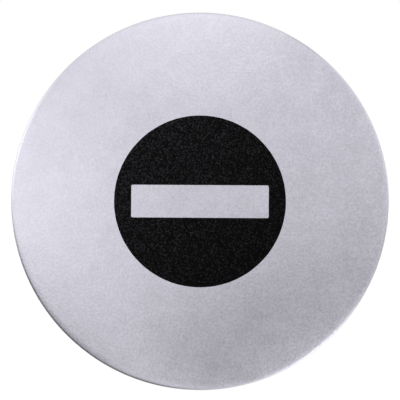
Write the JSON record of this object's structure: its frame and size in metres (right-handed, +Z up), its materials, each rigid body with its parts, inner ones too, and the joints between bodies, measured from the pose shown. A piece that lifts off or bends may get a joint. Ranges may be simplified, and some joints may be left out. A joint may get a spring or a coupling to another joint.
{
  "type": "no entry sign",
  "caption": "Round stick-on no entry sign: a flat matt stainless steel disc with a rolled front edge, held to a door by a disc of foam mounting tape.",
  "frame": {"origin": "centre of the mounting tape's back face, where the sign's axis meets the door's surface", "axes": "+Y along the sign's axis into the door, so the printed face looks along -Y; +Z up; +X to the reader's right"},
  "size_m": [0.075, 0.0018, 0.075],
  "materials": {
    "matt_stainless_steel": "satin",
    "acrylic_foam_tape": "matte",
    "black_screen_ink": "satin"
  },
  "bodies": {
    "root": {"sign_plate": "matt_stainless_steel", "mounting_tape": "acrylic_foam_tape"}
  },
  "joints": []
}
